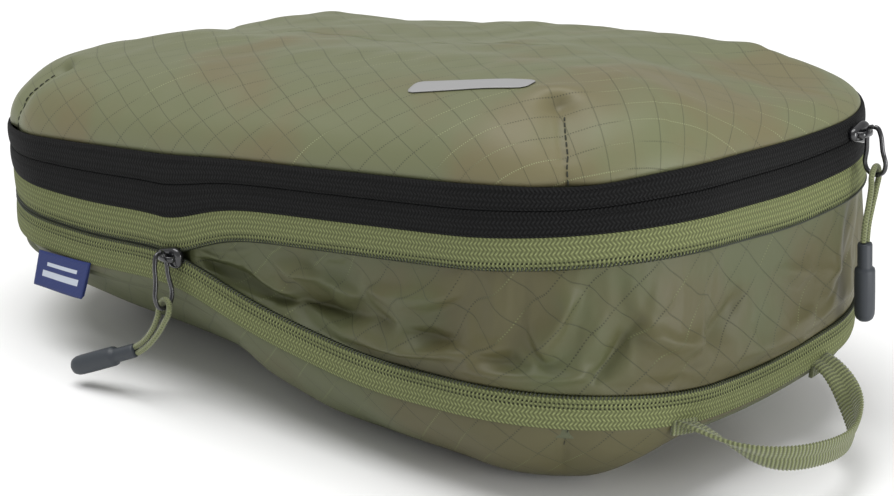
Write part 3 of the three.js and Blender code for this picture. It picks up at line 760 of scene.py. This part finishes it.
def build_gusset():
    """The strip between the two halves of the compression zipper, longer than the gap so that it folds."""
    count, rows = 560, 26
    x, y, nx, ny, s = outline(count, GUSSET_FROM / OUTLINE_LENGTH, GUSSET_TO / OUTLINE_LENGTH)
    past = s - SLIDER_S
    shut = 1 - smooth((past - 2) / 10)
    behind = 0.4 + 3.0 * shut
    foot = np.column_stack(place_lower(x - behind * nx, y - behind * ny, 51.0 - 5.0 * shut))
    head = np.column_stack(place_upper(x - behind * nx, y - behind * ny, 52.2 + 5.0 * shut))
    gap = np.linalg.norm(head - foot, axis=1)
    points, uv, travelled, last = [], [], np.zeros(count), None
    for j in range(rows + 1):
        t = j / rows
        row = foot + (head - foot) * t
        hold = math.sin(math.pi * t) ** 0.6 * smooth((past - 4) / 14)
        full = 3.4 * smooth((past - 70) / 60) * (1 - 0.5 * smooth((past - 330) / 60))
        out = full * math.sin(math.pi * t)
        pocket = smooth((past - 6) / 14) * (1 - smooth((past - 60 - 22 * (t - 0.4)) / 9))
        lip = 0.36 + 0.10 * np.sin(past / 13.0)
        out = out + pocket * (11.0 * smooth((t - lip) / 0.08) * (1.15 - t) - 6.0) * hold
        out = out - 4.5 * bump(past, 78, 10, 16) * hold
        for ends in CREASES:
            out = out + 2.7 * crease(past, t, ends, 46.0) * hold
        out = out + 2.0 * ripple(row[:, 0], row[:, 1], row[:, 2] * 1.3, 19, 12) * hold
        out = np.clip(out, -0.42 * gap, 0.30 * gap)
        row[:, 0] += nx * out
        row[:, 1] += ny * out
        row[:, 2] -= 0.25 * np.maximum(out, 0) * pocket
        if last is not None:
            travelled = travelled + np.linalg.norm(row - last, axis=1)
        last = row
        points.append(row)
        uv.append(np.column_stack([s, travelled]))
    faces = grid_faces(rows + 1, count)
    obj = mesh_object("gusset_panel_cloth", np.vstack(points), faces, np.vstack(uv), SHADED_RIPSTOP)
    group = obj.vertex_groups.new(name="pin")
    edge = list(range(count)) + list(range(rows * count, (rows + 1) * count))
    ends = [j * count + i for j in range(rows + 1) for i in (0, count - 1)]
    group.add(edge + ends, 1.0, "REPLACE")
    return obj, float(travelled.max()), float(s[-1] - s[0]), float(travelled.mean())


gusset, gusset_height, gusset_length, gusset_mean = build_gusset()


def drape_gusset():
    """Lets the gusset settle a little into its folds, with its edges held by the coils."""
    modifier = gusset.modifiers.new("cloth", "CLOTH")
    cloth = modifier.settings
    cloth.quality = 5
    cloth.mass = 0.2
    cloth.tension_stiffness = 30
    cloth.compression_stiffness = 30
    cloth.shear_stiffness = 15
    cloth.bending_stiffness = 1.2
    cloth.vertex_group_mass = "pin"
    cloth.shrink_min = 0.0
    cloth.use_pressure = True
    cloth.uniform_pressure_force = 0.15
    cloth.effector_weights.gravity = 0.3
    modifier.collision_settings.use_self_collision = False
    modifier.collision_settings.use_collision = False
    modifier.point_cache.frame_end = 12
    for k in range(1, 13):
        bpy.context.scene.frame_set(k)
    bpy.ops.object.select_all(action="DESELECT")
    bpy.context.view_layer.objects.active = gusset
    gusset.select_set(True)
    bpy.ops.object.modifier_apply(modifier="cloth")
    bpy.context.scene.frame_set(1)


drape_gusset()
smoother = gusset.modifiers.new("subdivision", "SUBSURF")
smoother.levels = smoother.render_levels = 1
thicken(gusset, 0.7)
dress(gusset, "ripstop", "gusset_panel")
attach(gusset, "base")
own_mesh(gusset)

# ---- Darts' stitches ------------------------------------------------


def surface_of(obj):
    depsgraph = bpy.context.evaluated_depsgraph_get()
    bpy.context.view_layer.update()
    return BVHTree.FromObject(obj, depsgraph)


def tube_curve(name, points, diameter, material, cyclic=False):
    """A round wire through points in millimetres."""
    data = bpy.data.curves.new(name, "CURVE")
    data.dimensions = "3D"
    data.bevel_depth = diameter / 2 * MM
    data.bevel_resolution = 4
    data.resolution_u = 8
    data.use_fill_caps = True
    spline = data.splines.new("BEZIER")
    spline.bezier_points.add(len(points) - 1)
    for knot, p in zip(spline.bezier_points, points):
        knot.co = Vector(p) * MM
        knot.handle_left_type = knot.handle_right_type = "AUTO"
    spline.use_cyclic_u = cyclic
    data.materials.append(material)
    obj = bpy.data.objects.new(name, data)
    bpy.context.scene.collection.objects.link(obj)
    return obj


def stitch_row(name, tree, path, body, pitch=3.2, stitch=2.3, width=0.5):
    """Short stitches laid on a surface along a path of points in millimetres."""
    path = np.array(path)
    steps = np.r_[0, np.cumsum(np.linalg.norm(np.diff(path, axis=0), axis=1))]
    points, faces = [], []
    for k in range(int(steps[-1] / pitch)):
        a, b = k * pitch, k * pitch + stitch
        ends = [np.array([np.interp(d, steps, path[:, j]) for j in range(3)]) for d in (a, (a + b) / 2, b)]
        hits = [tree.find_nearest(Vector(e) * MM) for e in ends]
        line = [np.array(h[0]) / MM + np.array(h[1]) * lift for h, lift in zip(hits, (0.0, 0.28, 0.0))]
        normal = np.array(hits[1][1])
        along = line[2] - line[0]
        side = np.cross(along, normal)
        side *= width / 2 / max(np.linalg.norm(side), 1e-6)
        base = len(points)
        for p in line:
            points += [p - side - 0.2 * normal, p - 0.7 * side + 0.2 * normal,
                       p + 0.7 * side + 0.2 * normal, p + side - 0.2 * normal]
        for j in range(2):
            for i in range(3):
                q = base + 4 * j + i
                faces.append((q, q + 1, q + 5, q + 4))
    obj = mesh_object(name, points, faces, None, THREAD)
    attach(dress(obj, "binding"), body)


def dart_path(rows_of, first, last):
    return [rows_of(k / 12 * (last - first) + first) for k in range(13)]


lid_tree = surface_of(lid)
pan_tree = surface_of(pan)
for number, centre in enumerate(DART_AT):
    share = centre / OUTLINE_LENGTH
    x, y, nx, ny, _ = (q[0] for q in outline(1, share, share))

    def on_lid(inset):
        level = LID_FOOT + float(lid_rise(inset, x, y))
        return [float(q) for q in place_upper(x - inset * nx, y - inset * ny, level)]

    def on_pan(inset):
        return [float(q) for q in place_lower(x - inset * nx, y - inset * ny, SEAM - 1.3 * inset - 1)]

    stitch_row(f"lid_dart_stitches_{number + 1}", lid_tree, dart_path(on_lid, -0.4, 21), "lid", width=0.65)
    stitch_row(f"pan_dart_stitches_{number + 1}", pan_tree, dart_path(on_pan, 0.3, 13), "base", width=0.4)

# ---- Bar on the lid -------------------------------------------------


def build_bar():
    """A plain rounded bar laid on the lid near its front edge."""
    columns, rows, half_length, half_depth = 60, 12, 25.0, 4.8
    centre = np.array([88.5, -77.0])
    turn = math.radians(13)
    along, across = np.array([math.cos(turn), math.sin(turn)]), np.array([-math.sin(turn), math.cos(turn)])
    points, uv = [], []
    for j in range(rows + 1):
        b = -half_depth + 2 * half_depth * j / rows
        for i in range(columns + 1):
            end = 3.0 - math.sqrt(max(9.0 - max(abs(b) - half_depth + 3.0, 0) ** 2, 0))
            a = (-half_length + end) + 2 * (half_length - end) * i / columns
            spot = centre + a * along + b * across
            hit = lid_tree.ray_cast(Vector((spot[0] * MM, spot[1] * MM, 0.3)), Vector((0, 0, -1)))
            points.append(np.array(hit[0] + hit[1].normalized() * 0.00035) / MM)
            uv.append((a, b))
    bar = mesh_object("lid_bar_film", points, grid_faces(rows + 1, columns + 1), uv, SILVER)
    thicken(bar, 0.25, 1)
    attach(dress(bar, "reflective", "lid_reflective_bar"), "lid")


build_bar()

# ---- Label ----------------------------------------------------------


def build_label():
    """A folded woven label that hangs from the seam under the lower tape."""
    columns, rows, half, height = 24, 30, 15.8, 16.2
    x_middle = -98.0
    y_wall = -HALF_WIDTH - FRONT_BULGE * (1 - (x_middle / HALF_LENGTH) ** 2)
    points, uv = [], []
    for j in range(rows + 1):
        t = 2 * j / rows
        front_side = t <= 1
        down = height * (t if front_side else 2 - t)
        gap = 0.55 * math.sin(math.pi * min(down / height, 1) * 0.5 + 0.35)
        for i in range(columns + 1):
            a = -half + 2 * half * i / columns
            curl = 0.9 * (down / height) ** 2 + 0.7 * math.sin(a / 9.0) * (down / height)
            y = y_wall - 1.7 - curl - (gap if front_side else -gap)
            x = x_middle + a - 3.5 * down / height
            z = SEAM + 0.2 + float(base_rise(np.array(x), np.array(-100.0))) - 0.98 * down + 0.03 * a
            points.append((x, y, z))
            uv.append((a, down))
    label = mesh_object("side_label_cloth", points, grid_faces(rows + 1, columns + 1), uv, LABEL_WEAVE)
    thicken(label, 0.35, 0)
    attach(dress(label, "label", "side_label"), "base")


build_label()

# ---- Grab handle ----------------------------------------------------

HANDLE_CENTRE, HANDLE_HALF, HANDLE_REACH = -12.0, 44.0, 36.0
HANDLE_ROOT, HANDLE_LEVEL = 179.5, 30.0


def wall_x(y):
    """Where the handle end's wall stands at y."""
    past = max(0.0, abs(y) - (HALF_WIDTH - RADIUS))
    return HALF_LENGTH - RADIUS + math.sqrt(RADIUS ** 2 - past ** 2)


def build_handle():
    """A loop of ribbed webbing, flat against the seam at its ends and drooping outwards."""
    count, columns, half_width = 240, 8, 5.4
    line, lean = [], []
    for i in range(count + 1):
        angle = math.pi * i / count
        reach = math.sin(angle) ** 0.75
        y = HANDLE_CENTRE - HANDLE_HALF * math.cos(angle) * (1 - 0.10 * reach)
        x = wall_x(HANDLE_CENTRE - HANDLE_HALF * math.cos(angle)) * (1 - reach) + HANDLE_ROOT * reach
        x = x + 0.9 + HANDLE_REACH * reach
        z = HANDLE_LEVEL + 3.5 - 12.5 * float(smooth(reach * 1.05)) + 1.6 * math.sin(2.2 * angle)
        line.append((x, y, z))
        lean.append(0.2 + 1.15 * abs(math.cos(angle)) ** 5)
    line = np.array(line)
    tangent = np.gradient(line, axis=0)
    tangent /= np.linalg.norm(tangent, axis=1)[:, None]
    upright = np.array([0, 0, 1.0])
    outward = np.cross(tangent, upright)
    outward /= np.linalg.norm(outward, axis=1)[:, None]
    steps = np.r_[0, np.cumsum(np.linalg.norm(np.diff(line, axis=0), axis=1))]
    profile = []
    for k in range(columns + 1):
        w = -half_width + 2 * half_width * k / columns
        profile.append((w, 0.85 - 0.55 * math.exp(-(w / 0.9) ** 2) - (0.35 if k in (0, columns) else 0)))
    for k in range(columns, -1, -1):
        w = -half_width + 2 * half_width * k / columns
        profile.append((w, -0.85 + 0.55 * math.exp(-(w / 0.9) ** 2) + (0.35 if k in (0, columns) else 0)))
    points, uv = [], []
    for w, thick in profile:
        for i in range(count + 1):
            c, s = math.cos(lean[i]), math.sin(lean[i])
            rib = 1 + 0.05 * math.sin(2 * math.pi * steps[i] / 1.7)
            wide = upright * c + outward[i] * s
            thin = outward[i] * c - upright * s
            points.append(line[i] + wide * w * rib + thin * thick * rib)
            uv.append((steps[i], w))
    faces = grid_faces(len(profile), count + 1, closed_rows=True)
    handle = mesh_object("grab_handle_webbing", points, faces, uv, WEBBING)
    dress(handle, "green_tape", "grab_handle")
    return handle


handle = build_handle()
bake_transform(handle)


def build_anchor(side, cad):
    """The sewn end of the webbing, folded flat under the lower tape."""
    y_middle = HANDLE_CENTRE + side * HANDLE_HALF
    rows, columns = 8, 12
    points, uv = [], []
    for j in range(rows + 1):
        z = 34.5 + 6.0 * j / rows
        for i in range(columns + 1):
            y = y_middle - 5.4 + 10.8 * i / columns
            x = wall_x(y)
            rise = float(base_rise(np.array(x), np.array(y)))
            points.append((x + 0.3 - 0.05 * (40 - z), y, z + rise))
            uv.append((y, z))
    anchor = mesh_object(cad + "_webbing", points, grid_faces(rows + 1, columns + 1), uv, WEBBING)
    thicken(anchor, 1.4, 1)
    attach(dress(anchor, "green_tape", cad), "base")


build_anchor(-1, "handle_anchor_front")
build_anchor(1, "handle_anchor_back")

# ---- Sliders and pulls ----------------------------------------------

WIRE, CORD = 1.9, 2.4
STRAND_SPREAD = (1.35, 1.35, 1.5, 2.0, 2.5)
BAIL = 7.25
GRIP_PROFILE = ((0, 0), (2.3, 0), (2.75, 0.25), (2.95, 0.9), (2.95, 9.6), (3.1, 10.2), (3.9, 10.9),
                (4.1, 11.8), (4.15, 20), (4.1, 28), (3.95, 30.2), (3.4, 31.8), (2.4, 32.7), (1.2, 33),
                (0, 33))


def wire_loop(top, bottom, across, top_half, bottom_half):
    def at(t, half):
        return top.lerp(bottom, t) + across * half

    butt, waist = 0.4, (top_half + bottom_half) / 2
    stations = ((0, butt), (0.02, 0.6 * top_half), (0.12, top_half), (0.5, waist),
                (0.86, bottom_half), (1, 0.55 * bottom_half))
    outside = [at(t, half) for t, half in stations]
    inside = [at(t, -half) for t, half in stations]
    return outside + inside[::-1]


def doubled_cord(route, out):
    last = len(route) - 1

    def along(i):
        return (route[min(i + 1, last)] - route[max(i - 1, 0)]).normalized()

    def strand(sign):
        sides = [along(i).cross(out).normalized() for i in range(last + 1)]
        return [p + side * sign * spread for p, side, spread in zip(route, sides, STRAND_SPREAD)]

    crest = route[last] + along(last) * 1.1 * STRAND_SPREAD[last]
    return strand(1) + [crest] + strand(-1)[::-1]


def grip_piece(name, mouth, towards):
    steps = 40
    points = []
    for r, h in GRIP_PROFILE:
        for i in range(steps + 1):
            angle = 2 * math.pi * i / steps
            points.append((r * math.cos(angle), r * math.sin(angle), h))
    grip = mesh_object(name, points, grid_faces(len(GRIP_PROFILE), steps + 1), None, MOULDED)
    turn = Vector((0, 0, 1)).rotation_difference((towards - mouth).normalized()).to_matrix().to_4x4()
    grip.data.transform(Matrix.Translation(mouth * MM) @ turn)
    return grip


def zipper_pull(prefix, body, top, foot, across, out, route, grip_to):
    bend = wire_loop(top, foot, across.normalized(), 2.7, 4.4)
    wire = tube_curve(prefix + "_pull_wire_loop", bend, WIRE, METAL)
    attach(dress(wire, "black_metal", prefix + "_pull_wire"), body)
    line = doubled_cord(list(route) + [foot], out)
    cord = tube_curve(prefix + "_pull_cord_braid", line, CORD, BRAID)
    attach(dress(cord, "green_tape", prefix + "_pull_cord"), body)
    mouth = route[0] + (grip_to - route[0]).normalized() * 0.3
    grip = grip_piece(prefix + "_pull_grip_moulded", mouth, grip_to)
    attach(dress(grip, "moulded", prefix + "_pull_grip"), body)


lift = 0.5 * (SLIDER_X + HALF_LENGTH) * math.tan(THETA)
wall_y = -HALF_WIDTH - FRONT_BULGE * (1 - (SLIDER_X / HALF_LENGTH) ** 2) - 1.1
compression_bail = Vector((SLIDER_X, wall_y - BAIL, MEET + lift))
zipper_pull(
    "compression", "compression_pull",
    top=compression_bail + Vector((0, 0, 2.9)),
    foot=Vector((-27.5, -123.5, 43.5)),
    across=Vector((0, -1, -0.15)),
    out=Vector((0, -1, 0)),
    route=[Vector(p) for p in ((-43, -125, 20.8), (-38.4, -124.6, 24.4), (-33.6, -124.2, 30),
                               (-29.8, -123.8, 36.8))],
    grip_to=Vector((-75, -133, 6.3)))

MAIN_Y = 52.0
main_along, main_above = 2 * HALF_LENGTH + STRETCH + 1.1, SLIT - MEET
main_bail = Vector((
    -HALF_LENGTH + main_along * math.cos(THETA) - main_above * math.sin(THETA) + BAIL * math.cos(THETA),
    MAIN_Y,
    MEET + main_along * math.sin(THETA) + main_above * math.cos(THETA) + BAIL * math.sin(THETA)))
hang = main_bail.x + 2.5
zipper_pull(
    "main", "main_pull",
    top=main_bail + Vector((0, 0, 2.9)),
    foot=Vector((hang, MAIN_Y, 108.5)),
    across=Vector((1, 0, 0.1)),
    out=Vector((1, 0, 0)),
    route=[Vector(p) for p in ((hang + 1.4, MAIN_Y - 6, 82), (hang + 1.2, MAIN_Y - 5.4, 89),
                               (hang + 0.8, MAIN_Y - 3.2, 96), (hang + 0.3, MAIN_Y - 1, 102.5))],
    grip_to=Vector((hang + 2.6, MAIN_Y - 3, 48)))


def slider_plate(name):
    """A domed plate, wider at the end where the zipper opens. It lies along +X and faces -Y."""
    rings, steps = 10, 48
    points = []
    for side in (1, 0):
        for k in range(rings + 1):
            r = (k if side else rings - k) / rings
            for i in range(steps + 1):
                angle = 2 * math.pi * i / steps
                c, q = math.cos(angle), math.sin(angle)
                x = 6.5 * r * math.copysign(abs(c) ** 0.75, c)
                half = 3.9 + 0.85 * math.tanh(0.35 * x)
                z = half * r * math.copysign(abs(q) ** 0.75, q)
                dome = 1.4 + 1.7 * math.sqrt(max(0.0, 1 - r ** 4))
                points.append((x, -dome if side else 0.0, z))
    return mesh_object(name, points, grid_faces(2 * rings + 2, steps + 1), None, METAL)


def slider_bridge(name):
    """The arch that holds the wire: a flat strip bent over the plate."""
    path = ((-3.9, -1.6), (-3.9, -3.6), (-3.3, -4.9), (-2.0, -5.5), (0, -5.7), (2.0, -5.5), (3.3, -4.9),
            (3.9, -3.6), (3.9, -1.6))
    arch = tube_curve(name + "_line", [(x, y + 0.4, 0) for x, y in path], 1.3, METAL)
    bpy.ops.object.select_all(action="DESELECT")
    arch.select_set(True)
    bpy.context.view_layer.objects.active = arch
    bpy.ops.object.convert(target="MESH")
    arch.name = name
    arch.data.transform(Matrix.Diagonal((1, 1, 2.0, 1)))
    return arch


compression_at = compression_bail + Vector((0, BAIL, 0))
main_at = main_bail - Vector((math.cos(THETA), 0, math.sin(THETA))) * BAIL
standing = Matrix.Rotation(-THETA, 4, "Y") @ Matrix.Rotation(math.pi / 2, 4, "Z")
for prefix, place in (("compression", Matrix.Translation(compression_at * MM)),
                      ("main", Matrix.Translation(main_at * MM) @ standing)):
    for made, cad in ((slider_plate(prefix + "_slider_plate"), "_slider_body"),
                      (slider_bridge(prefix + "_slider_arch"), "_slider_bridge")):
        made.data.transform(place)
        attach(dress(made, "black_metal", prefix + cad), prefix + "_slider")

# ---- Stage ----------------------------------------------------------


def build_stage():
    floor = bpy.data.objects.new("floor", bpy.data.meshes.new("floor"))
    floor.data.from_pydata([(-6, -6, 0), (6, -6, 0), (6, 6, 0), (-6, 6, 0)], [], [(0, 1, 2, 3)])
    floor.data.materials.append(plain_material("floor", (0.92, 0.92, 0.92), 0.9))
    bpy.context.scene.collection.objects.link(floor)
    world = bpy.data.worlds.new("studio")
    world.use_nodes = True
    world.node_tree.nodes["Background"].inputs[0].default_value = (1, 1, 1, 1)
    world.node_tree.nodes["Background"].inputs[1].default_value = 0.50
    bpy.context.scene.world = world
    sun = bpy.data.objects.new("sun", bpy.data.lights.new("sun", "SUN"))
    sun.data.energy = 2.4
    sun.data.angle = math.radians(50)
    sun.rotation_euler = Vector((0.15, 0.12, -0.9)).to_track_quat("-Z", "Y").to_euler()
    bpy.context.scene.collection.objects.link(sun)
    strip_light = bpy.data.objects.new("strip", bpy.data.lights.new("strip", "AREA"))
    strip_light.data.size = 0.5
    strip_light.data.energy = 7
    strip_light.location = (1.3, 0.0, 0.2)
    aim = Vector((0, 0, 0.06)) - strip_light.location
    strip_light.rotation_euler = aim.to_track_quat("-Z", "Y").to_euler()
    bpy.context.scene.collection.objects.link(strip_light)


build_stage()
bpy.context.scene.view_settings.view_transform = "Standard"
